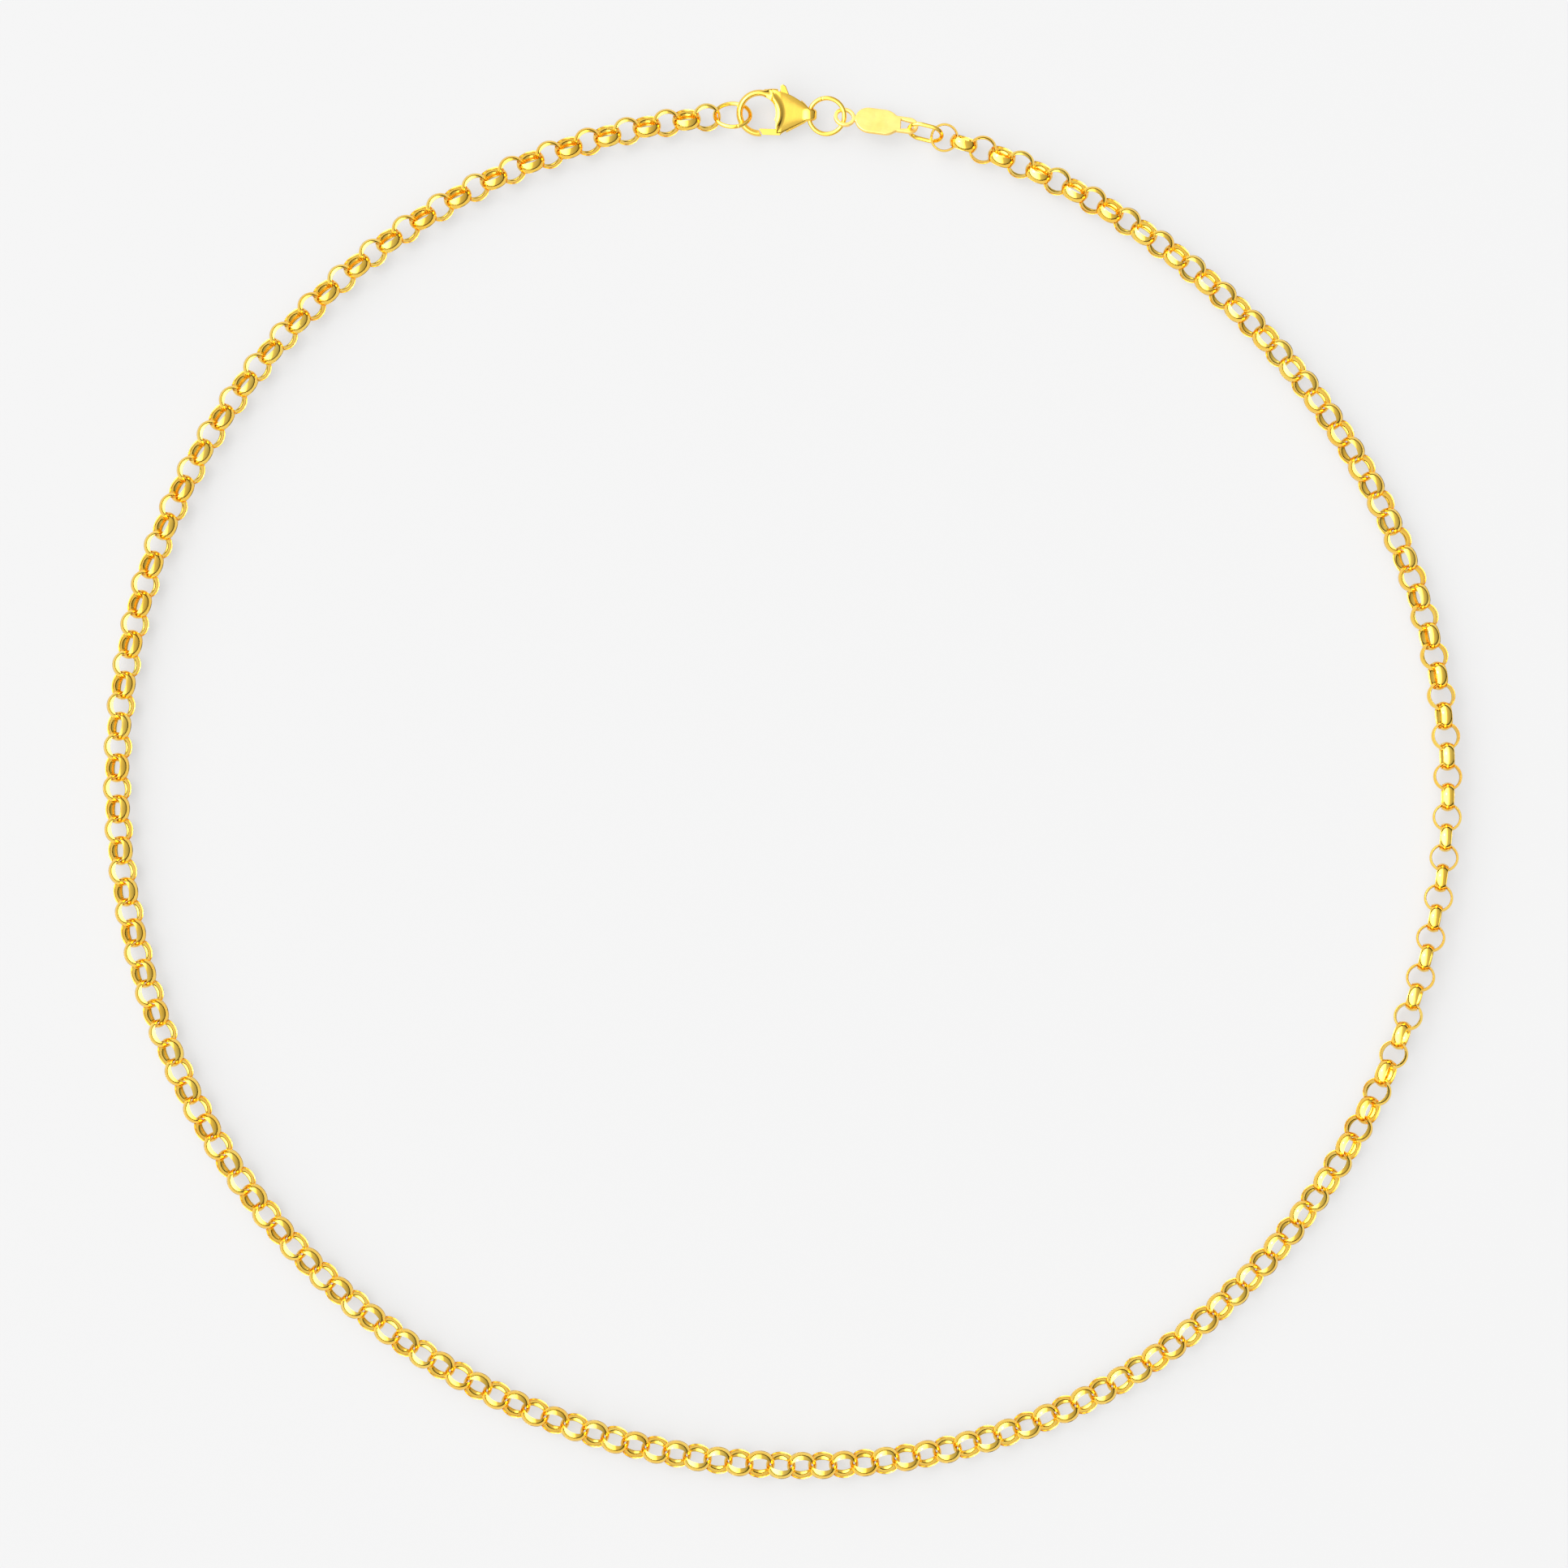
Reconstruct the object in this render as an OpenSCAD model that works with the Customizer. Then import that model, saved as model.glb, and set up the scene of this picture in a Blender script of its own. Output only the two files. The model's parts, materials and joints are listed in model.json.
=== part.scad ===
// Chain necklace: round belcher links, lobster clasp, jump ring, plain tag and connector link.
// It lies in a loop on the XY plane with the clasp at +Y. All sizes are in millimetres.

/* [Chain links] */
// Outside diameter of a round link.
link_outer = 3.14; // [2.6:0.02:3.8]
// Radial thickness of a link's band.
link_wall = 0.3; // [0.25:0.01:0.35]
// Width of a link's band along the link's own axis.
link_width = 1.25; // [1.0:0.01:1.5]
// Bevel round both inner rims of a link.
link_bevel = 0.12; // [0.08:0.01:0.16]
// Height of the dome on the outside of a link.
link_dome = 0.16; // [0.08:0.01:0.17]
// Slack between two neighbouring links that sit fully off square.
link_play = 0.04; // [0.02:0.01:0.1]

/* [Loop] */
// Extra radius along the loop's long diameter.
oval_rise = 0.74; // [0:0.02:1.5]
// Direction of the loop's long diameter.
oval_turn = 101; // [0:1:180]
// Depth of the gentle ripple along the loop's right side.
ripple_rise = 0.2; // [0:0.02:0.4]
// Direction of the ripple's first crest.
ripple_turn = 9; // [0:1:72]
// Turn of the bottom link away from the loop's lowest point.
chain_start = -90.63; // [-91:0.01:-89]

/* [Clasp] */
// Radius of the round opening inside the claw.
claw_bore = 1.8; // [1.5:0.05:2.2]
// Radial thickness of the claw.
claw_wall = 0.72; // [0.6:0.02:0.9]
// Height of the claw's section.
claw_height = 1.4; // [1.2:0.05:1.8]
// Distance from the middle of the claw's opening to the tail eye.
tail_reach = 5.4; // [4.8:0.1:6.0]
// Radius of the eye through the clasp's tail.
tail_bore = 0.52; // [0.48:0.02:0.6]
// Thickness of the casing at its middle.
casing_height = 2.2; // [2.0:0.1:2.6]
// Height of the slot that the lever works in.
slot_height = 1.0; // [0.9:0.05:1.1]
// Radius of the lever's rivet.
rivet_radius = 0.25; // [0.2:0.01:0.3]
// Clearance between the lever and what it moves against.
lever_play = 0.04; // [0.03:0.01:0.06]

/* [Rings and tag] */
// Outside diameter of the end ring that hooks into the claw.
end_ring_outer = 4.3; // [4.1:0.1:4.8]
// Wire thickness of the end ring.
end_ring_wire = 0.45; // [0.35:0.01:0.5]
// Outside diameter of the jump ring.
jump_ring_outer = 4.35; // [4.0:0.05:4.8]
// Wire thickness of the jump ring.
jump_ring_wire = 0.5; // [0.4:0.01:0.55]
// Overall length of the oval connector link.
connector_length = 4.1; // [3.8:0.05:4.8]
// Overall width of the oval connector link.
connector_width = 3.0; // [2.8:0.05:3.4]
// Wire thickness of the connector link.
connector_wire = 0.45; // [0.35:0.01:0.5]
// Thickness of the tag's sheet.
tag_thick = 0.4; // [0.3:0.02:0.44]
// Length of the tag's plain plate.
tag_plate_length = 4.9; // [4:0.1:6]
// Height of the tag's plain plate.
tag_plate_height = 3.0; // [2.6:0.1:3.6]
// Radius of the hole in the tag's eyelet.
eyelet_bore = 0.8; // [0.76:0.01:0.9]

/* [Hidden] */
// Links on each arm, counted from the bottom link, in groups that bend together.
left_groups = [5, 5, 5, 5, 4, 4, 4, 4, 4, 4, 2, 2, 2, 2, 4, 4, 4, 4, 4, 4, 5, 5, 5, 5];
right_groups = [5, 5, 5, 5, 5, 4, 4, 4, 4, 4, 2, 2, 2, 2, 4, 4, 4, 4, 4, 4, 4, 4, 4, 4];
// Links of the bottom group on each side of the bottom link.
bottom_half = 2;

function total(list, count) = count == 0 ? 0 : list[count - 1] + total(list, count - 1);

left_links = bottom_half + total(left_groups, len(left_groups));
right_links = bottom_half + total(right_groups, len(right_groups));

link_bore = link_outer / 2 - link_wall;
link_land = link_width / 2 - link_bevel;
link_span = sqrt(link_bore * link_bore - link_land * link_land);
// A link may sit this far off square to its neighbours, and a wider band then needs more slack.
link_off_square = 12;
link_slack = link_play + 2 * link_land * sin(link_off_square) * link_land / link_span;
link_pitch = 2 * link_span - link_slack;
axis_height = link_outer / 2;

// Steps along the chain between the middles of the pieces at the clasp end.
end_ring_bore = end_ring_outer / 2 - end_ring_wire;
jump_ring_radius = jump_ring_outer / 2 - jump_ring_wire / 2;
connector_reach = connector_length / 2 - connector_wire / 2;
loop_hole_reach = 1.5;
tag_reach = eyelet_bore + 0.35 + tag_plate_length + loop_hole_reach - 0.4;
step_link_to_end_ring = link_bore + end_ring_bore - link_slack;
step_end_ring_to_claw = end_ring_bore + claw_bore - 0.65;
step_claw_to_jump_ring = tail_reach + jump_ring_radius;
step_tag_to_connector = connector_reach;
step_connector_to_link = link_bore + connector_reach - connector_wire / 2 - 0.72;
clasp_run = step_link_to_end_ring + step_end_ring_to_claw + step_claw_to_jump_ring
    + jump_ring_radius + tag_reach + step_tag_to_connector + step_connector_to_link;

// Stations of those pieces along the loop, from the bottom link towards the right arm.
at_connector = right_links * link_pitch + step_connector_to_link;
at_tag = at_connector + step_tag_to_connector;
at_jump_ring = at_tag + tag_reach + jump_ring_radius;
at_claw = at_jump_ring + step_claw_to_jump_ring;
at_end_ring = -(left_links * link_pitch + step_link_to_end_ring);

loop_length = (left_links + right_links) * link_pitch + clasp_run;
loop_radius = loop_length / (2 * PI);
loop_middle = [-0.25, -1.0];

function loop_reach(a) = loop_radius + oval_rise * cos(2 * (a - oval_turn))
    + ripple_rise * (cos(5 * (a - ripple_turn)) + 0.8 * cos(4 * (a - 2 * ripple_turn)));
function loop_point(a) = loop_middle + loop_reach(a) * [cos(a), sin(a)];
function slope_step(a) = loop_point(a + 0.05) - loop_point(a - 0.05);
function loop_speed(a) = norm(slope_step(a)) / 0.1;
function turn_after(a, run) = a + run / loop_speed(a + run / loop_speed(a) / 2);

// Angle round the loop against the distance along it, one entry for each link pitch.
run_steps = 110;
ahead = [for (i = 0, a = chain_start; i <= run_steps; a = turn_after(a, link_pitch), i = i + 1)
    [i * link_pitch, a]];
behind = [for (i = 0, a = chain_start; i <= run_steps; a = turn_after(a, -link_pitch), i = i + 1)
    [-i * link_pitch, a]];
stations = concat([for (i = [run_steps : -1 : 1]) behind[i]], ahead);

// Tilt of the even links about the chain, against the link number. Odd links lie square to it.
tilts = [[-98, -41], [-60, -38], [-20, -45], [0, -49], [30, -50], [35, -41], [39, -23], [42, -16],
    [50, -11], [55, 1], [63, 20], [70, 30], [85, 41], [92, 52], [95, 73]];
end_ring_tilt = 34;
clasp_tilt = -18;
tag_tilt = 20;
connector_tilt = -70;

round_facets = 48;
wire_facets = 24;

function two_digits(n) = n < 10 ? str("0", n) : str(n);
function left_name(n) = str("left_chain_", two_digits(n));
function right_name(n) = str("right_chain_", two_digits(n));

gold = [0.93, 0.72, 0.24];
pale_gold = [0.95, 0.79, 0.38];

// Puts a piece at a station of the loop, its X axis along the chain and its Z axis up.
module on_loop(run, tilt) {
    a = lookup(run, stations);
    p = loop_point(a);
    s = slope_step(a);
    translate([p[0], p[1], axis_height])
        rotate([0, 0, atan2(s[1], s[0])])
            rotate([tilt, 0, 0])
                children();
}

module wire_ring(outer, wire) {
    rotate_extrude($fn = round_facets)
        translate([outer / 2 - wire / 2, 0])
            circle(d = wire, $fn = wire_facets);
}

// Half of a link's section is the band with bevelled inner rims under a domed outside.
module link_section() {
    edge = link_outer / 2 - link_dome;
    dome_radius = (link_width * link_width / 4 + link_dome * link_dome) / (2 * link_dome);
    intersection() {
        polygon([
            [link_bore, -link_land],
            [link_bore + link_bevel, -link_width / 2],
            [link_outer, -link_width / 2],
            [link_outer, link_width / 2],
            [link_bore + link_bevel, link_width / 2],
            [link_bore, link_land]
        ]);
        translate([edge + link_dome - dome_radius, 0])
            circle(r = dome_radius, $fn = 64);
    }
}

module link() {
    rotate_extrude($fn = round_facets)
        link_section();
}

module chain_link(number) {
    side = number % 2 == 0 ? 0 : 90;
    on_loop(number * link_pitch, lookup(number, tilts) + side)
        link();
}

module links(first, last) {
    for (i = [first : last])
        chain_link(i);
}

module bottom_chain() {
    color(gold)
        links(-bottom_half, bottom_half);
}

module left_chain(n) {
    first = bottom_half + total(left_groups, n - 1) + 1;
    color(gold)
        links(-(first + left_groups[n - 1] - 1), -first);
}

module right_chain(n) {
    first = bottom_half + total(right_groups, n - 1) + 1;
    color(gold)
        links(first, first + right_groups[n - 1] - 1);
}

module end_ring() {
    color(gold)
        on_loop(at_end_ring, end_ring_tilt)
            wire_ring(end_ring_outer, end_ring_wire);
}

module jump_ring() {
    color(gold)
        on_loop(at_jump_ring, clasp_tilt)
            wire_ring(jump_ring_outer, jump_ring_wire);
}

// Turns a piece to the clasp's own axes, X towards the tail and Y towards the thumb.
module on_clasp() {
    on_loop((at_claw + at_jump_ring) / 2, clasp_tilt)
        translate([step_claw_to_jump_ring / 2, 0, 0])
            rotate([0, 0, 180])
                children();
}

pivot = [2.85, -1.0];
hub_radius = 0.6;
gate_low = -(claw_bore + claw_wall) + 0.06;
gate_high = -claw_bore + 0.14;
lever_low = -slot_height / 2 + 2 * lever_play;
lever_thick = 0.54;
spring_wire = 0.22;

module claw() {
    rotate([0, 0, 35])
        rotate_extrude(angle = 240, $fn = round_facets)
            translate([claw_bore + claw_wall / 2, 0])
                intersection() {
                    circle(d = claw_height, $fn = wire_facets);
                    square([claw_wall, claw_height], center = true);
                }
}

module casing_post(x, y, r, h) {
    translate([x, y, 0])
        cylinder(r1 = r, r2 = r * 0.6, h = h / 2, $fn = 20);
    translate([x, y, 0])
        mirror([0, 0, 1])
            cylinder(r1 = r, r2 = r * 0.6, h = h / 2, $fn = 20);
}

module tail_barrel(r, length) {
    translate([tail_reach, 0, 0])
        rotate([90, 0, 0])
            cylinder(r = r, h = length, center = true, $fn = 32);
}

module slot() {
    translate([0, 0, -slot_height / 2])
        linear_extrude(slot_height)
            polygon([
                [claw_bore + 0.15, 4],
                [claw_bore + 0.15, 0.9],
                [claw_bore - 0.4, 0.6],
                [claw_bore - 0.4, -3],
                [2.95, -3],
                [2.95, -1.8],
                [3.3, -1.65],
                [tail_reach - 0.9, -0.75],
                [tail_reach - 0.9, 4]
            ]);
}

module clasp_body() {
    color(gold)
        on_clasp()
            difference() {
                union() {
                    claw();
                    hull() {
                        casing_post(claw_bore + 0.62, 1.75, 0.55, casing_height * 0.75);
                        casing_post(claw_bore + 0.9, 0.2, 0.7, casing_height);
                        casing_post(claw_bore + 0.62, -1.9, 0.55, casing_height * 0.7);
                        tail_barrel(tail_bore + 0.36, 1.2);
                    }
                }
                cylinder(r = claw_bore, h = 2 * casing_height, center = true, $fn = round_facets);
                slot();
                tail_barrel(tail_bore, 4);
                translate([pivot[0], pivot[1], -casing_height])
                    cylinder(r = rivet_radius, h = 2 * casing_height, $fn = 24);
                translate([0, 0, -casing_height])
                    linear_extrude(2 * casing_height)
                        polygon([
                            [0.3, gate_low - 0.4],
                            [0.3, gate_low],
                            [-0.1, gate_high],
                            [-0.5, gate_high + 0.9],
                            [claw_bore, gate_high + 0.9],
                            [claw_bore + 0.1, gate_low - 0.4]
                        ]);
            }
}

module lever_outline() {
    difference() {
        union() {
            polygon([
                [0.3 + lever_play * 2, gate_low],
                [2.3, gate_low],
                [pivot[0] + 0.3, pivot[1] - 0.4],
                [pivot[0], pivot[1] + 0.3],
                [2.2, gate_high],
                [-0.1 + lever_play * 2, gate_high]
            ]);
            translate(pivot)
                circle(r = hub_radius, $fn = 32);
            polygon([
                [pivot[0] - 0.4, pivot[1]],
                [pivot[0] + 0.4, pivot[1]],
                [3.2, 2.0],
                [2.75, 3.0],
                [2.45, 3.15],
                [2.2, 3.0],
                [2.2, 1.6]
            ]);
        }
        translate(pivot)
            circle(r = rivet_radius + lever_play, $fn = 24);
    }
}

module clasp_lever() {
    color(gold)
        on_clasp()
            translate([0, 0, lever_low])
                linear_extrude(lever_thick)
                    lever_outline();
}

module clasp_rivet() {
    color(gold)
        on_clasp()
            translate([pivot[0], pivot[1], -casing_height * 0.42])
                cylinder(r = rivet_radius, h = casing_height * 0.84, $fn = 24);
}

module spring_outline() {
    coil = rivet_radius + 2 * lever_play;
    difference() {
        union() {
            circle(r = coil + spring_wire, $fn = 32);
            translate([0, coil])
                square([1.4, spring_wire]);
            translate([-coil - spring_wire, 0])
                square([spring_wire, 2.2]);
        }
        circle(r = coil, $fn = 32);
    }
}

module clasp_spring() {
    color(gold)
        on_clasp()
            translate([pivot[0], pivot[1], lever_low + lever_thick + lever_play])
                linear_extrude(spring_wire)
                    spring_outline();
}

// The tag's own X axis runs from its end loop to the eyelet.
module tag_outline() {
    loop_half = 1.0;
    plate_near = loop_hole_reach - 0.4;
    bend = tag_plate_height / 2;
    difference() {
        union() {
            translate([tag_reach, 0])
                circle(r = eyelet_bore + 0.38, $fn = 32);
            translate([plate_near + bend, -bend])
                square([tag_plate_length - 2 * bend, 2 * bend]);
            for (x = [plate_near + bend, plate_near + tag_plate_length - bend])
                translate([x, 0])
                    circle(r = bend, $fn = 48);
            translate([0, -loop_half])
                square([plate_near + 0.6, 2 * loop_half]);
            circle(r = loop_half, $fn = 32);
        }
        translate([tag_reach, 0])
            circle(r = eyelet_bore, $fn = 32);
        translate([0.05, -0.6])
            square([plate_near - 0.2, 1.2]);
        translate([0.05, 0])
            circle(r = 0.6, $fn = 32);
    }
}

module tag() {
    color(pale_gold)
        on_loop(at_tag, tag_tilt)
            translate([0, 0, -tag_thick / 2])
                linear_extrude(tag_thick)
                    tag_outline();
}

module connector_link() {
    bend = connector_width / 2 - connector_wire / 2;
    half = connector_length / 2 - connector_width / 2;
    color(gold)
        on_loop(at_connector, connector_tilt) {
            for (side = [0, 180])
                rotate([0, 0, side])
                    translate([half, 0, 0])
                        rotate([0, 0, -90])
                            rotate_extrude(angle = 180, $fn = round_facets)
                                translate([bend, 0])
                                    circle(d = connector_wire, $fn = wire_facets);
            for (side = [-1, 1])
                translate([-half, side * bend, 0])
                    rotate([0, 90, 0])
                        cylinder(d = connector_wire, h = 2 * half, $fn = wire_facets);
        }
}

bottom_chain();
for (n = [1 : len(left_groups)])
    left_chain(n);
for (n = [1 : len(right_groups)])
    right_chain(n);
end_ring();
clasp_body();
clasp_lever();
clasp_rivet();
clasp_spring();
jump_ring();
tag();
connector_link();
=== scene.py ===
import json
import math

import bmesh
import bpy
import numpy as np
import openvdb
from mathutils import Matrix, Vector


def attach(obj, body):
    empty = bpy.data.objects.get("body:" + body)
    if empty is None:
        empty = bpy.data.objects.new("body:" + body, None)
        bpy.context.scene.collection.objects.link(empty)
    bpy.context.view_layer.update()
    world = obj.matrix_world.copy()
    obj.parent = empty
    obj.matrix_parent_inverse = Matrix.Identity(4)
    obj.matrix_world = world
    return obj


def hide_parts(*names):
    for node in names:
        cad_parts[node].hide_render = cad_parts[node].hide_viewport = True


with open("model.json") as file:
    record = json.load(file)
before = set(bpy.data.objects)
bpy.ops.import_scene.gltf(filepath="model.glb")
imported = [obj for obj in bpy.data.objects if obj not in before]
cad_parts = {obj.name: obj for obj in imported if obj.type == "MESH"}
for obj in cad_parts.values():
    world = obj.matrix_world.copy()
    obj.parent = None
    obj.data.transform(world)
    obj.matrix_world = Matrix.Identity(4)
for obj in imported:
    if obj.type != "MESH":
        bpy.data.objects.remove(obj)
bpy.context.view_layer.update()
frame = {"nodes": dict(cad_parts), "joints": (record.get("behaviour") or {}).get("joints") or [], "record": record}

# Shapes are worked out in millimetres and turned into metres when their mesh is made.
MM = 0.001
# Corners of the CAD mesh that are nearer than this are one corner.
WELD = 0.0005
SEED = 7
rng = np.random.default_rng(SEED)


# ---------------------------------------------------------------- the CAD frame

def cad_solids(node):
    """The triangles of each separate solid of a CAD node, as arrays of points in millimetres."""
    shape = bmesh.new()
    shape.from_mesh(frame["nodes"][node].data)
    bmesh.ops.remove_doubles(shape, verts=shape.verts, dist=WELD * MM)
    bmesh.ops.triangulate(shape, faces=shape.faces)
    waiting = set(shape.faces)
    solids = []
    for first in list(shape.faces):
        if first not in waiting:
            continue
        waiting.discard(first)
        front, solid = [first], []
        while front:
            face = front.pop()
            solid.append([corner.co[:] for corner in face.verts])
            for edge in face.edges:
                for other in edge.link_faces:
                    if other in waiting:
                        waiting.discard(other)
                        front.append(other)
        solids.append(np.array(solid) / MM)
    shape.free()
    return solids


def own_axes(triangles):
    """Middle of a solid's surface and its axes, from the narrowest spread to the widest."""
    centres = triangles.mean(axis=1)
    edges = triangles[:, 1:] - triangles[:, :1]
    areas = np.linalg.norm(np.cross(edges[:, 0], edges[:, 1]), axis=1)
    middle = np.average(centres, axis=0, weights=areas)
    away = centres - middle
    _, axes = np.linalg.eigh((away.T * areas) @ away)
    return middle, axes.T


def place(middle, x, z):
    """Matrix that puts a local shape at a middle, with its X axis nearest x and its Z axis on z."""
    z = np.array(z) / np.linalg.norm(z)
    if z[2] < 0:
        z = -z
    x = np.array(x) - np.dot(x, z) * z
    x = x / np.linalg.norm(x)
    grid = np.eye(4)
    grid[:3, 0], grid[:3, 1], grid[:3, 2], grid[:3, 3] = x, np.cross(z, x), z, middle
    return grid


def flat_size(triangles, matrix):
    """Lowest and highest corner of a solid in its own axes."""
    points = triangles.reshape(-1, 3) - matrix[:3, 3]
    own = points @ matrix[:3, :3]
    return own.min(axis=0), own.max(axis=0)


def round_size(triangles, matrix):
    """Outer radius, inner radius and width of a ring about its own Z axis."""
    own = (triangles.reshape(-1, 3) - matrix[:3, 3]) @ matrix[:3, :3]
    reach = np.linalg.norm(own[:, :2], axis=1)
    return reach.max(), reach.min(), own[:, 2].max() - own[:, 2].min()


def along_chain(middle):
    """Direction of the necklace at a point, anticlockwise round the loop."""
    return np.array([-middle[1], middle[0], 0.0])


def joint(name):
    """The CAD joint of that name."""
    return next(j for j in frame["joints"] if j["name"] == name)


def body_with(node):
    """The CAD body that a node moves with."""
    bodies = frame["record"]["behaviour"]["bodies"]
    return next(body for body, members in bodies.items() if node in members)


# ---------------------------------------------------------------- mesh tools

PLAIN_TONE = 0.5


def mesh_piece(name, points, faces, material, tone=PLAIN_TONE):
    """A smooth-shaded object from points in millimetres; tone shifts its gold, point by point."""
    mesh = bpy.data.meshes.new(name)
    mesh.from_pydata([tuple(p) for p in points * MM], [], [tuple(f) for f in faces])
    shape = bmesh.new()
    shape.from_mesh(mesh)
    bmesh.ops.recalc_face_normals(shape, faces=shape.faces)
    shape.to_mesh(mesh)
    shape.free()
    mesh.shade_smooth()
    shades = mesh.attributes.new("tone", "FLOAT", "POINT")
    shades.data.foreach_set("value", np.zeros(len(points)) + tone)
    mesh.materials.append(material)
    piece = bpy.data.objects.new(name, mesh)
    bpy.context.scene.collection.objects.link(piece)
    return piece


def solid_piece(name, points, faces, matrix, material):
    """A piece from local points in millimetres, placed by a matrix."""
    return mesh_piece(name, points @ matrix[:3, :3].T + matrix[:3, 3], faces, material)


def stand_for(piece, node):
    """Puts a piece in a CAD node's place, on the body that the node moves with."""
    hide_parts(node)
    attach(piece, body_with(node))


def tube_faces(rows, columns, closed):
    """Faces over rows of points that each close on themselves; an open tube gets two end faces."""
    here = np.arange(rows * columns).reshape(rows, columns)
    around, ahead = np.roll(here, -1, axis=1), np.roll(here, -1, axis=0)
    quads = np.stack([here, around, np.roll(ahead, -1, axis=1), ahead], axis=-1)
    if closed:
        return quads.reshape(-1, 4)
    return list(quads[:-1].reshape(-1, 4)) + [here[0][::-1], here[-1]]


def lathe(profile, angles):
    """A closed profile of (radius, height) turned about Z through all the angles."""
    profile = np.array(profile)
    turns, count = len(angles), len(profile)
    points = np.empty((turns, count, 3))
    points[:, :, 0] = np.cos(angles)[:, None] * profile[:, 0]
    points[:, :, 1] = np.sin(angles)[:, None] * profile[:, 0]
    points[:, :, 2] = profile[:, 1]
    return points.reshape(-1, 3), tube_faces(turns, count, closed=True)


WIRE_SIDES = 20
# Length of the chamfer at a wire's end and its size there, as shares of the radius.
WIRE_CHAMFER = 0.15
WIRE_TIP = 0.8


def wire(path, radius, closed):
    """Round wire along a path that lies in the local XY plane, with softly chamfered ends."""
    path = np.array(path, float)
    if closed:
        heading = np.roll(path, -1, axis=0) - np.roll(path, 1, axis=0)
    else:
        heading = np.gradient(path, axis=0)
        chamfer = WIRE_CHAMFER * radius
        step = heading / np.linalg.norm(heading, axis=1)[:, None]
        path = np.vstack([path[0] - chamfer * step[0], path, path[-1] + chamfer * step[-1]])
        heading = np.vstack([heading[0], heading, heading[-1]])
    sizes = np.full(len(path), radius)
    if not closed:
        sizes[[0, -1]] = WIRE_TIP * radius
    heading /= np.linalg.norm(heading, axis=1)[:, None]
    side = np.stack([heading[:, 1], -heading[:, 0], np.zeros(len(path))], axis=1)
    up = np.cross(side, heading)
    turn = np.arange(WIRE_SIDES) * 2 * math.pi / WIRE_SIDES
    points = (
        path[:, None, :]
        + sizes[:, None, None] * np.cos(turn)[None, :, None] * side[:, None, :]
        + sizes[:, None, None] * np.sin(turn)[None, :, None] * up[:, None, :]
    )
    return points.reshape(-1, 3), tube_faces(len(path), WIRE_SIDES, closed)


def arc(middle, radius, start, end, steps):
    """Points of an arc in the XY plane, angles in degrees."""
    turns = np.radians(np.linspace(start, end, steps))
    return np.stack(
        [middle[0] + radius * np.cos(turns), middle[1] + radius * np.sin(turns), 0 * turns], axis=1
    )


# Distance fields are negative inside. Castings are meshed where their field is zero.


def join(a, b, blend):
    """Both fields together, with a fillet of about the blend's size between them."""
    mix = np.clip(0.5 + 0.5 * (b - a) / blend, 0, 1)
    return b * (1 - mix) + a * mix - blend * mix * (1 - mix)


def cut(a, b, blend):
    """The first field without the second, with its new edges rounded."""
    return -join(-a, b, blend)


def outline_field(x, y, corners):
    """Signed distance to a polygon in the XY plane."""
    near = np.full(x.shape, np.inf)
    inside = np.zeros(x.shape, bool)
    for (ax, ay), (bx, by) in zip(corners, corners[1:] + corners[:1]):
        ex, ey = bx - ax, by - ay
        share = np.clip(((x - ax) * ex + (y - ay) * ey) / (ex * ex + ey * ey), 0, 1)
        near = np.minimum(near, np.hypot(x - ax - share * ex, y - ay - share * ey))
        if ey != 0:
            crosses = (ay > y) != (by > y)
            inside ^= crosses & (x < ax + (y - ay) * ex / ey)
    return np.where(inside, -near, near)


def slab(flat, z, half, edge):
    """A flat field made into a plate of that half thickness with rounded edges."""
    a, b = flat + edge, np.abs(z) - half + edge
    return np.minimum(np.maximum(a, b), 0) + np.hypot(np.maximum(a, 0), np.maximum(b, 0)) - edge


def cast(name, field, low, high, cell, matrix, material):
    """Meshes a distance field inside a box and places it."""
    spans = [np.arange(a, b + cell, cell) for a, b in zip(low, high)]
    x, y, z = np.meshgrid(*spans, indexing="ij")
    values = np.clip(field(x, y, z), -3 * cell, 3 * cell)
    grid = openvdb.FloatGrid(3 * cell)
    grid.copyFromArray(values.astype(np.float32))
    points, faces = grid.convertToQuads(isovalue=0.0)
    return solid_piece(name, np.array(low) + points * cell, faces, matrix, material)


# ---------------------------------------------------------------- materials

def fresh_material(name):
    """A new material with its nodes, links and shader."""
    material = bpy.data.materials.new(name)
    material.use_nodes = True
    nodes = material.node_tree.nodes
    return material, nodes, material.node_tree.links, nodes["Principled BSDF"]


def noise(nodes, links, coords, scale, detail):
    """Noise over the object's own coordinates, with that many cells to the metre."""
    texture = nodes.new("ShaderNodeTexNoise")
    texture.inputs["Scale"].default_value = scale
    texture.inputs["Detail"].default_value = detail
    links.new(coords, texture.inputs["Vector"])
    return texture.outputs["Fac"]


# Nearly all of a noise texture's values lie in this range.
NOISE_RANGE = (0.3, 0.7)


def spread(nodes, links, value, low, high):
    """Stretches a noise value to the range from low to high."""
    ranged = nodes.new("ShaderNodeMapRange")
    ranged.inputs["From Min"].default_value = NOISE_RANGE[0]
    ranged.inputs["From Max"].default_value = NOISE_RANGE[1]
    ranged.inputs["To Min"].default_value = low
    ranged.inputs["To Max"].default_value = high
    links.new(value, ranged.inputs["Value"])
    return ranged.outputs["Result"]


# The colour drifts this far on either side of a piece's own tone.
TONE_DRIFT = 0.25


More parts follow.
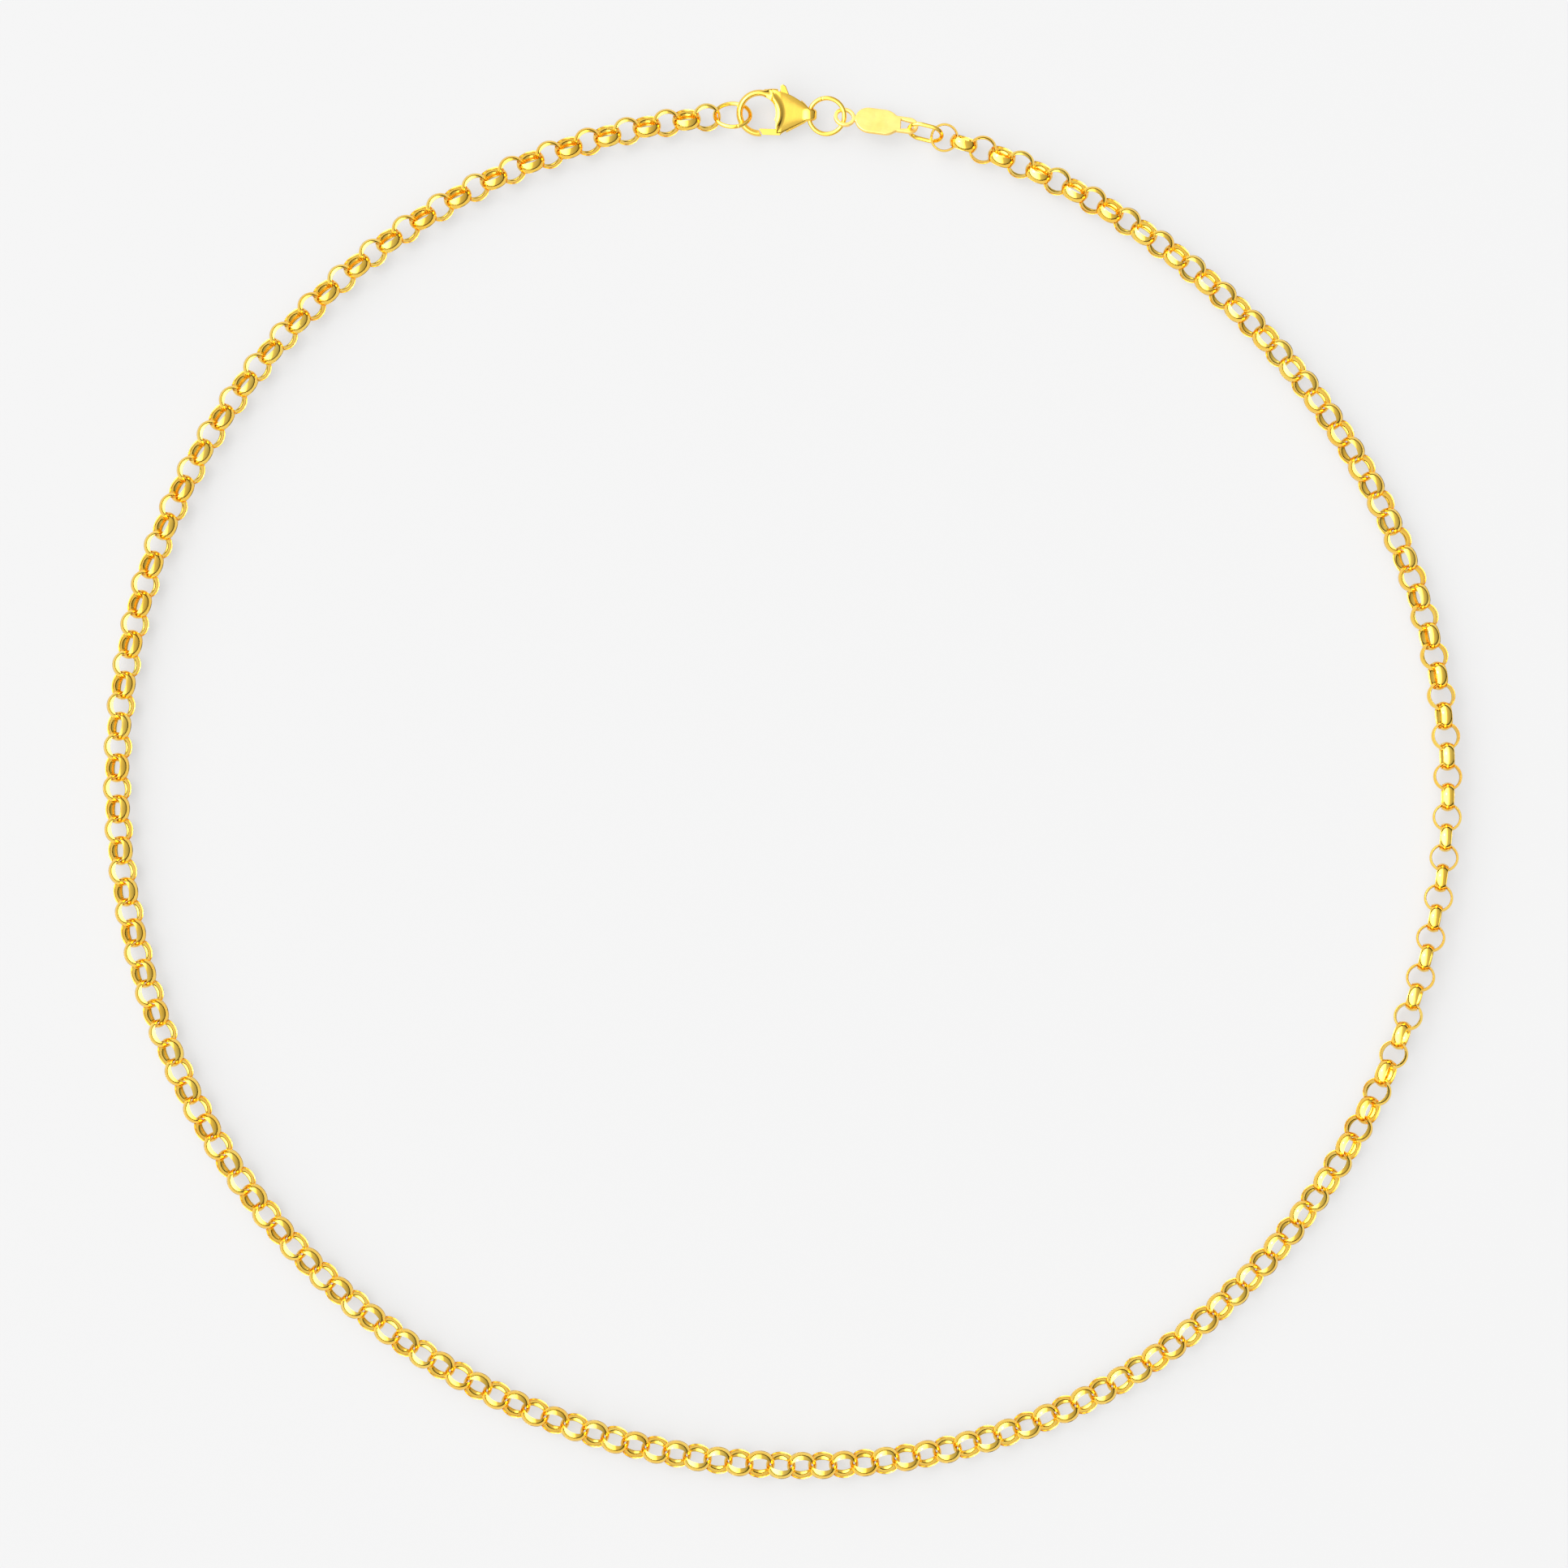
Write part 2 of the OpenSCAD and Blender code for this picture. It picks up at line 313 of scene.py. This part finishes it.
def gold(name, deep, light, roughness, cloud, grain, grain_depth, stretch=(1, 1, 1)):
    """Yellow gold: a colour that drifts between two tones, polishing haze and fine surface grain."""
    material, nodes, links, shader = fresh_material(name)
    shader.inputs["Metallic"].default_value = 1.0
    coords = nodes.new("ShaderNodeTexCoord").outputs["Object"]
    stretched = nodes.new("ShaderNodeMapping")
    stretched.inputs["Scale"].default_value = stretch
    links.new(coords, stretched.inputs["Vector"])
    drift = noise(nodes, links, coords, cloud, 2.0)
    tone = nodes.new("ShaderNodeAttribute")
    tone.attribute_name = "tone"
    add = nodes.new("ShaderNodeMath")
    add.operation = "ADD"
    links.new(spread(nodes, links, drift, -TONE_DRIFT, TONE_DRIFT), add.inputs[0])
    links.new(tone.outputs["Fac"], add.inputs[1])
    colours = nodes.new("ShaderNodeValToRGB")
    colours.color_ramp.elements[0].color = (*deep, 1)
    colours.color_ramp.elements[1].color = (*light, 1)
    links.new(add.outputs["Value"], colours.inputs["Fac"])
    links.new(colours.outputs["Color"], shader.inputs["Base Color"])
    haze = noise(nodes, links, coords, cloud * 3, 3.0)
    links.new(spread(nodes, links, haze, *roughness), shader.inputs["Roughness"])
    fine = noise(nodes, links, stretched.outputs["Vector"], grain, 4.0)
    bump = nodes.new("ShaderNodeBump")
    bump.inputs["Strength"].default_value = 1.0
    bump.inputs["Distance"].default_value = grain_depth
    links.new(fine, bump.inputs["Height"])
    links.new(bump.outputs["Normal"], shader.inputs["Normal"])
    return material


FLOOR_GLOW = 0.58
FLOOR_GREY = 0.13


def pale_floor():
    """Matt paper that glows a little, so that it stays near white in soft light."""
    material, nodes, links, shader = fresh_material("pale_paper")
    shader.inputs["Base Color"].default_value = (FLOOR_GREY, FLOOR_GREY, FLOOR_GREY, 1)
    shader.inputs["Roughness"].default_value = 0.9
    shader.inputs["Specular IOR Level"].default_value = 0.0
    shader.inputs["Emission Color"].default_value = (1, 1, 1, 1)
    shader.inputs["Emission Strength"].default_value = FLOOR_GLOW
    return material


polished_gold = gold(
    "polished_gold",
    deep=(1.0, 0.58, 0.06),
    light=(1.0, 0.72, 0.14),
    roughness=(0.10, 0.18),
    cloud=300,
    grain=1500,
    grain_depth=0.000004,
)
brushed_gold = gold(
    "brushed_gold",
    deep=(0.96, 0.60, 0.14),
    light=(1.0, 0.74, 0.26),
    roughness=(0.38, 0.5),
    cloud=500,
    grain=6000,
    grain_depth=0.00001,
    stretch=(0.15, 1, 1),
)
spring_gold = gold(
    "spring_gold",
    deep=(0.80, 0.50, 0.10),
    light=(0.92, 0.64, 0.18),
    roughness=(0.2, 0.3),
    cloud=800,
    grain=4000,
    grain_depth=0.000006,
)


# ---------------------------------------------------------------- chain links

# Fall of the domed outside from the middle of the band to its edge.
LINK_DOME = 0.24
# Width of the bevel beside the bore, and how far the rim's tip stays inside the band's width.
LINK_BEVEL = 0.14
LINK_TIP = 0.03
# The domed outside stops this far short of the band's full width, on each side.
LINK_EDGE = 0.055
# The bore's radius is this much larger than in CAD, and a dish hollows its middle further.
LINK_EASE = 0.02
LINK_DISH = 0.12
# Points across the outside, off its corner, across the bore and round the link.
CROWN_STEPS = 13
CROWN_CORNER = 0.02
DISH_STEPS = 9
LINK_TURNS = 60
# The seam is a groove at one angle. Its half width, its own points and the space that is kept
# clear of other points are in radians.
SEAM_DEPTH = 0.012
SEAM_HALF = 0.02
SEAM_POINTS = (-0.05, -0.02, -0.008, 0.008, 0.02, 0.05)
SEAM_CLEAR = 0.06
# Each link has one tone between these.
LINK_TONES = (0.3, 0.7)


def link_profile(outer, bore, width):
    """Section of a link's band: strongly domed outside, thin bevelled rims and a dished bore."""
    half = width / 2
    bore = bore + LINK_EASE
    flat = half - LINK_EDGE
    across = np.linspace(CROWN_CORNER - flat, flat - CROWN_CORNER, CROWN_STEPS)
    heights = np.concatenate([[-flat], across, [flat]])
    crown = [(outer - LINK_DOME * (z / half) ** 2, z) for z in heights]
    land = half - LINK_BEVEL
    tip = (bore + 0.75 * LINK_BEVEL, half - LINK_TIP)
    rim = [tip, (bore + LINK_BEVEL / 2, half - LINK_BEVEL / 2), (bore, land)]
    hollow = np.linspace(land, -land, DISH_STEPS)[1:-1]
    dish = [(bore + LINK_DISH * (1 - (z / land) ** 2), z) for z in hollow]
    lower = [(r, -z) for r, z in reversed(rim)]
    return crown + rim + dish + lower


def angle_between(a, b):
    """Size of the angle from one direction to another, in radians."""
    return np.abs((a - b + math.pi) % (2 * math.pi) - math.pi)


def one_link(triangles):
    """Points, faces and tone of one link, made to the size and place of its CAD solid."""
    middle, axes = own_axes(triangles)
    matrix = place(middle, along_chain(middle), axes[0])
    outer, bore, width = round_size(triangles, matrix)
    seam = rng.uniform(0, 2 * math.pi)
    even = np.arange(LINK_TURNS) * 2 * math.pi / LINK_TURNS
    even = even[angle_between(even, seam) > SEAM_CLEAR]
    angles = np.sort(np.concatenate([even, seam + np.array(SEAM_POINTS)]))
    points, faces = lathe(link_profile(outer, bore, width), angles)
    off = angle_between(np.arctan2(points[:, 1], points[:, 0]), seam)
    groove = SEAM_DEPTH * np.clip(1 - off / SEAM_HALF, 0, 1)
    reach = np.hypot(points[:, 0], points[:, 1])
    groove[reach <= (outer + bore) / 2] = 0
    points[:, :2] *= (1 - groove / reach)[:, None]
    tone = np.full(len(points), rng.uniform(*LINK_TONES))
    return points @ matrix[:3, :3].T + middle, faces, tone


def chain_group(node):
    """All the links of one CAD node as one piece."""
    points, faces, tones, count = [], [], [], 0
    for triangles in cad_solids(node):
        link_points, link_faces, tone = one_link(triangles)
        points.append(link_points)
        faces.append(link_faces + count)
        tones.append(tone)
        count += len(link_points)
    piece = mesh_piece(
        node + "_links", np.vstack(points), np.vstack(faces), polished_gold, np.concatenate(tones)
    )
    stand_for(piece, node)


for chain_node in sorted(n for n in frame["nodes"] if "chain" in n):
    chain_group(chain_node)


# ---------------------------------------------------------------- rings

# Half of the cut in a ring, in degrees.
CUT_HALF_GAP = 0.4


def ring(node, cut_at):
    """A wire ring with a butt cut, to the size of its CAD torus."""
    (triangles,) = cad_solids(node)
    middle, axes = own_axes(triangles)
    matrix = place(middle, along_chain(middle), axes[0])
    outer, bore, width = round_size(triangles, matrix)
    radius = (outer - bore) / 2
    path = arc((0, 0), outer - radius, cut_at + CUT_HALF_GAP, cut_at + 360 - CUT_HALF_GAP, 97)
    points, faces = wire(path, radius, closed=False)
    piece = solid_piece(node + "_wire", points, faces, matrix, polished_gold)
    stand_for(piece, node)


ring("end_ring", cut_at=100)
ring("jump_ring", cut_at=-70)


def connector():
    """An oval of round wire, soldered shut."""
    (triangles,) = cad_solids("connector_link")
    middle, axes = own_axes(triangles)
    matrix = place(middle, axes[2], axes[0])
    low, high = flat_size(triangles, matrix)
    radius = (high[2] - low[2]) / 2
    bend = (high[1] - low[1]) / 2 - radius
    half = (high[0] - low[0]) / 2 - radius - bend
    ends = [arc((half, 0), bend, -90, 90, 41), arc((-half, 0), bend, 90, 270, 41)]
    points, faces = wire(np.vstack(ends), radius, closed=True)
    piece = solid_piece("connector_link_wire", points, faces, matrix, polished_gold)
    stand_for(piece, "connector_link")


connector()


# ---------------------------------------------------------------- tag

EYELET_BORE = 0.8
EYELET_RIM = 0.38
# The plate starts this far past the middle of the end loop, and stops short of the eyelet's bore.
PLATE_START = 1.1
PLATE_STOP = 0.35
# The end loop is a tab with round ends, pierced by a window that widens towards the plate.
TAB_HALF_WIDTH = 1.0
TAB_HALF_RUN = 0.85
WINDOW_ENDS = (-0.5, 0.9)
WINDOW_HALF_WIDTHS = (0.35, 0.6)
WINDOW_CORNER = 0.02
TAG_FILLET = 0.15
TAG_EDGE = 0.07
TAG_CELL = 0.05


def tag():
    """A plain rounded plate with an eyelet at one end and a loop at the other."""
    (triangles,) = cad_solids("tag")
    middle, axes = own_axes(triangles)
    (ring_triangles,) = cad_solids("jump_ring")
    matrix = place(middle, own_axes(ring_triangles)[0] - middle, axes[0])
    low, high = flat_size(triangles, matrix)
    half = (high[2] - low[2]) / 2
    bend = (high[1] - low[1]) / 2
    eyelet = high[0] - EYELET_BORE - EYELET_RIM
    loop = low[0] + TAB_HALF_WIDTH
    near = loop + PLATE_START
    far = eyelet - EYELET_BORE - PLATE_STOP
    start, stop = loop + WINDOW_ENDS[0], loop + WINDOW_ENDS[1]
    slim, wide = WINDOW_HALF_WIDTHS
    window = [(start, -slim), (start, slim), (stop, wide), (stop, -wide)]

    def field(x, y, z):
        plate_middle, plate_half = (near + far) / 2, (far - near) / 2 - bend
        plate = np.hypot(np.maximum(np.abs(x - plate_middle) - plate_half, 0), y) - bend
        rim = np.hypot(x - eyelet, y) - EYELET_BORE - EYELET_RIM
        along = np.maximum(np.abs(x - (loop + TAB_HALF_RUN)) - TAB_HALF_RUN, 0)
        tab = np.hypot(along, y) - TAB_HALF_WIDTH
        flat = join(join(plate, rim, TAG_FILLET), tab, TAG_FILLET)
        flat = cut(flat, np.hypot(x - eyelet, y) - EYELET_BORE, 0.05)
        flat = cut(flat, outline_field(x, y, window) - WINDOW_CORNER, 0.05)
        return slab(flat, z, half, TAG_EDGE)

    margin = 4 * TAG_CELL
    piece = cast("plain_tag", field, low - margin, high + margin, TAG_CELL, matrix, brushed_gold)
    stand_for(piece, "tag")


tag()


# ---------------------------------------------------------------- clasp

CLAW_BORE = 1.8
CLAW_WALL = 0.72
CLAW_HEIGHT = 1.4
TAIL_REACH = 5.4
TAIL_BORE = 0.52
# The bar of the claw slims towards its tip: angles in degrees and shares of its height.
CLAW_SLIM_AT = [60, 120, 250, 275]
CLAW_SLIM = [1.0, 1.0, 0.88, 0.82]
# Where the casing starts, above and below the middle line, and where it ends.
CASING_START_TOP = 0.5
CASING_START_BOTTOM = 1.2
CASING_END = 5.5
# The ridge runs round the opening, on the casing's side of it only.
RIDGE_RADIUS = 0.38
RIDGE_HALF_HEIGHT = 1.05
RIDGE_START = 1.35
# The eye is a short boss: straight over its land, then rounded off by the crown's factor.
EYE_RADIUS = 0.86
EYE_HALF_LAND = 0.3
EYE_CROWN = 1.9
SLOT_HALF = 0.5
PIVOT = (2.85, -1.0)
GATE_LOW = -(CLAW_BORE + CLAW_WALL) + 0.06
GATE_HIGH = -CLAW_BORE + 0.14
# The gate's lower edge stands above the claw's, and its tip stays off the mouth's edge.
GATE_RAISE = 0.14
GATE_GAP = 0.08
LEVER_LOW = -0.42
LEVER_THICK = 0.54
LEVER_EDGE = 0.06
HUB_RADIUS = 0.6
RIVET_RADIUS = 0.25
RIVET_GAP = 0.04
# The rivet has this share of the CAD rivet's length, in a blind pocket of this half depth.
RIVET_SHARE = 0.66
RIVET_POCKET = 0.62
RIVET_DOME = 0.08
RIVET_SIDES = 32
COIL_GAP = 0.08
CASTING_CELL = 0.045
LEVER_CELL = 0.04


def clasp_matrix():
    """The clasp's own axes: X from the claw's middle to the tail eye, Z along the rivet."""
    axis = np.array(joint("lever_pivot")["axis"])
    pivot = np.array(joint("lever_pivot")["pos_m"]) / MM
    eye = np.array(joint("clasp_bend")["pos_m"]) / MM
    lean = math.atan2(-PIVOT[1], TAIL_REACH - PIVOT[0])
    across = eye - pivot
    across = across - np.dot(across, axis) * axis
    turned = np.array(Matrix.Rotation(-lean, 3, Vector(axis)) @ Vector(across))
    x = turned / np.linalg.norm(turned)
    return place(eye - TAIL_REACH * x, x, axis)


CLASP = clasp_matrix()


def claw_field(x, y, z):
    """The hook: an oval bar bent round the opening, slimmer towards its tip."""
    turn = np.degrees(np.arctan2(y, x)) % 360
    slim = np.interp(turn, CLAW_SLIM_AT, CLAW_SLIM)
    mid = CLAW_BORE + CLAW_WALL / 2
    bar = np.hypot((np.hypot(x, y) - mid) / (CLAW_WALL / 2), z / (slim * CLAW_HEIGHT / 2)) - 1
    bar = bar * CLAW_WALL / 2
    wedge = outline_field(x, y, [(0, 0), (4, 2.5), (4, 5), (-5, 5), (-5, -5), (1, -5)])
    return np.maximum(bar, wedge)


def casing_field(x, y, z):
    """The hollow body: a ridge round the opening that sinks into a flank and narrows to the tail."""
    top = 2.36 + 0.39 * x - 0.126 * x**2
    bottom = np.interp(x, [1.0, 2.4, 5.4], [-2.45, -2.35, -0.7])
    thick = np.interp(x, [0.4, 1.6, 5.4], [0.6, 0.88, 0.74])
    boxy = np.interp(x, [0.5, 2.2], [2.0, 4.0])
    middle, half = (top + bottom) / 2, (top - bottom) / 2
    flank = (np.abs((y - middle) / half) ** boxy + np.abs(z / thick) ** 2.4) ** (1 / 3) - 1
    flank = flank * 0.8
    start = np.where(y > 0, CASING_START_TOP, CASING_START_BOTTOM)
    flank = np.maximum(flank, np.maximum(x - CASING_END, start - x))
    off = np.hypot(x, y) - CLAW_BORE - CLAW_WALL / 2
    ridge = np.hypot(off / RIDGE_RADIUS, z / RIDGE_HALF_HEIGHT) - 1
    ridge = np.maximum(ridge * RIDGE_RADIUS, RIDGE_START - x)
    past_land = EYE_CROWN * np.maximum(np.abs(y) - EYE_HALF_LAND, 0)
    eye = np.hypot(np.hypot(x - TAIL_REACH, z), past_land) - EYE_RADIUS
    return join(join(flank, ridge, 0.3), eye, 0.25)


def clasp_field(x, y, z):
    """Claw and casing as one casting, with the slot for the lever, the mouth, the eye and a pocket."""
    metal = join(claw_field(x, y, z), casing_field(x, y, z), 0.2)
    metal = cut(metal, np.hypot(x, y) - CLAW_BORE, 0.05)
    slot = [
        (CLAW_BORE + 0.15, 4),
        (CLAW_BORE + 0.15, 0.9),
        (CLAW_BORE - 0.4, 0.6),
        (CLAW_BORE - 0.4, -3),
        (2.95, -3),
        (2.95, -1.8),
        (3.3, -1.65),
        (TAIL_REACH - 0.9, -0.75),
        (TAIL_REACH - 0.9, 4),
    ]
    metal = cut(metal, np.maximum(outline_field(x, y, slot), np.abs(z) - SLOT_HALF), 0.04)
    mouth = [
        (0.3, GATE_LOW - 0.5),
        (0.3, GATE_LOW),
        (-0.1, GATE_HIGH),
        (-0.5, GATE_HIGH + 0.9),
        (CLAW_BORE, GATE_HIGH + 0.9),
        (CLAW_BORE + 0.1, GATE_LOW - 0.5),
    ]
    metal = cut(metal, outline_field(x, y, mouth), 0.04)
    metal = cut(metal, np.hypot(x - TAIL_REACH, z) - TAIL_BORE, 0.06)
    pocket = np.hypot(x - PIVOT[0], y - PIVOT[1]) - RIVET_RADIUS
    return cut(metal, np.maximum(pocket, np.abs(z) - RIVET_POCKET), 0.03)


def lever_field(x, y, z):
    """The lever: a gate that shuts the mouth, a hub on the rivet and a fin for the thumb."""
    gate = [
        (0.3 + GATE_GAP, GATE_LOW + GATE_RAISE),
        (2.3, GATE_LOW + GATE_RAISE),
        (PIVOT[0] + 0.3, PIVOT[1] - 0.4),
        (PIVOT[0], PIVOT[1] + 0.3),
        (2.2, GATE_HIGH),
        (-0.1 + GATE_GAP, GATE_HIGH),
    ]
    thumb = [
        (PIVOT[0] - 0.4, PIVOT[1]),
        (PIVOT[0] + 0.4, PIVOT[1]),
        (3.2, 2.0),
        (2.75, 3.0),
        (2.45, 3.15),
        (2.2, 3.0),
        (2.2, 1.6),
    ]
    hub = np.hypot(x - PIVOT[0], y - PIVOT[1])
    flat = np.minimum(outline_field(x, y, gate), outline_field(x, y, thumb))
    flat = join(flat, hub - HUB_RADIUS, 0.08)
    flat = cut(flat, hub - RIVET_RADIUS - RIVET_GAP, 0.02)
    return slab(flat, z - LEVER_LOW - LEVER_THICK / 2, LEVER_THICK / 2, LEVER_EDGE)


def rivet():
    """Two low domed caps on a thin core, in line with the CAD rivet and hidden in the casing."""
    (triangles,) = cad_solids("clasp_rivet")
    low, high = flat_size(triangles, CLASP)
    middle = (low + high) / 2
    half = RIVET_SHARE * (high[2] - low[2]) / 2
    dome = [
        (RIVET_RADIUS * math.cos(a), half - RIVET_DOME + RIVET_DOME * math.sin(a))
        for a in np.linspace(0, 1.45, 7)
    ]
    profile = dome + [(r, -z) for r, z in reversed(dome)]
    turn = np.arange(RIVET_SIDES) * 2 * math.pi / RIVET_SIDES
    points = np.array([[r * math.cos(t), r * math.sin(t), z] for r, z in profile for t in turn])
    faces = tube_faces(len(profile), RIVET_SIDES, closed=False)
    piece = solid_piece("rivet_pin", points + middle, faces, CLASP, polished_gold)
    stand_for(piece, "clasp_rivet")


def spring():
    """A torsion spring of round wire: two arms and one coil round the rivet."""
    (triangles,) = cad_solids("clasp_spring")
    low, high = flat_size(triangles, CLASP)
    radius = (high[2] - low[2]) / 2
    coil = RIVET_RADIUS + COIL_GAP + radius
    lift = (high[2] + low[2]) / 2
    arm_x = np.array([[PIVOT[0] + 1.3, PIVOT[1] + coil, lift]])
    arm_y = np.array([[PIVOT[0] - coil, PIVOT[1] + 2.1, lift]])
    turn = arc(PIVOT, coil, 90, -180, 41) + [0, 0, lift]
    points, faces = wire(np.vstack([arm_x, turn, arm_y]), radius, closed=False)
    piece = solid_piece("torsion_spring", points, faces, CLASP, spring_gold)
    stand_for(piece, "clasp_spring")


def clasp():
    """The casting and the lever, each meshed in a box with room round it, then the small parts."""
    low, high = (-2.8, -2.8, -1.3), (6.5, 2.9, 1.3)
    casting = cast("clasp_casting", clasp_field, low, high, CASTING_CELL, CLASP, polished_gold)
    stand_for(casting, "clasp_body")
    low, high = (-0.4, -2.7, -0.6), (3.8, 3.3, 0.4)
    lever = cast("clasp_lever_arm", lever_field, low, high, LEVER_CELL, CLASP, polished_gold)
    stand_for(lever, "clasp_lever")
    rivet()
    spring()


clasp()


# ---------------------------------------------------------------- floor, light and camera

def floor():
    """A wide sheet at the height that the necklace lies on."""
    reach = 3.0
    corners = [(-reach, -reach, 0), (reach, -reach, 0), (reach, reach, 0), (-reach, reach, 0)]
    mesh = bpy.data.meshes.new("floor")
    mesh.from_pydata(corners, [], [(0, 1, 2, 3)])
    mesh.materials.append(pale_floor())
    sheet = bpy.data.objects.new("floor", mesh)
    bpy.context.scene.collection.objects.link(sheet)


floor()


def softbox(name, position, aim, size, power):
    """A white rectangular lamp that faces the aim."""
    lamp = bpy.data.lights.new(name, "AREA")
    lamp.shape = "RECTANGLE"
    lamp.size, lamp.size_y = size
    lamp.energy = power
    box = bpy.data.objects.new(name, lamp)
    box.location = position
    box.rotation_mode = "QUATERNION"
    box.rotation_quaternion = (Vector(aim) - Vector(position)).to_track_quat("-Z", "Y")
    bpy.context.scene.collection.objects.link(box)


softbox("key_light", position=(-0.9, 0.5, 1.2), aim=(0, 0, 0), size=(0.4, 0.4), power=5)


# Brightness of the tent by height, from level to straight up, and from the left to the right.
HEIGHT_BANDS = [(0.0, 0.02), (0.18, 0.02), (0.28, 0.8), (0.5, 1.0), (1.0, 1.0)]
SIDE_BANDS = [(0.0, 5.5), (0.3, 5.0), (0.48, 2.6), (0.6, 0.8), (1.0, 0.4)]


def brightness(nodes, links, value, bands):
    """Grey that follows a list of (value, brightness) points."""
    curve = nodes.new("ShaderNodeValToRGB")
    elements = curve.color_ramp.elements
    for _ in bands[2:]:
        elements.new(0.5)
    for element, (at, grey) in zip(elements, bands):
        element.position = at
        element.color = (grey, grey, grey, 1)
    links.new(value, curve.inputs["Fac"])
    return curve.outputs["Color"]


def studio():
    """Soft tent round the table: dark below the walls' foot, and brightest on the left."""
    world = bpy.data.worlds.new("studio")
    bpy.context.scene.world = world
    world.use_nodes = True
    nodes, links = world.node_tree.nodes, world.node_tree.links
    coords = nodes.new("ShaderNodeTexCoord")
    split = nodes.new("ShaderNodeSeparateXYZ")
    links.new(coords.outputs["Generated"], split.inputs["Vector"])
    half = nodes.new("ShaderNodeMath")
    half.operation = "MULTIPLY_ADD"
    half.inputs[1].default_value = 0.5
    half.inputs[2].default_value = 0.5
    links.new(split.outputs["X"], half.inputs[0])
    back = nodes["Background"]
    links.new(brightness(nodes, links, split.outputs["Z"], HEIGHT_BANDS), back.inputs["Color"])
    links.new(brightness(nodes, links, half.outputs["Value"], SIDE_BANDS), back.inputs["Strength"])


studio()
bpy.context.scene.view_settings.view_transform = "Standard"

CAMERA_AT = (-0.0250, -0.0436, 0.397)
LOOK_AT = (-0.00062, -0.00147, 0.0)
SENSOR_WIDTH = 36.0
FOCAL_LENGTH = 85.8


def camera():
    """A camera nearly over the loop, turned so that +Y is up in its picture."""
    lens = bpy.data.cameras.new("camera")
    lens.sensor_width = SENSOR_WIDTH
    lens.lens = FOCAL_LENGTH
    lens.clip_start = 0.01
    eye = bpy.data.objects.new("camera", lens)
    eye.location = CAMERA_AT
    back = (Vector(CAMERA_AT) - Vector(LOOK_AT)).normalized()
    right = Vector((0, 1, 0)).cross(back).normalized()
    up = back.cross(right)
    turn = Matrix((right, up, back)).transposed()
    eye.rotation_mode = "QUATERNION"
    eye.rotation_quaternion = turn.to_quaternion()
    bpy.context.scene.collection.objects.link(eye)
    bpy.context.scene.camera = eye


camera()
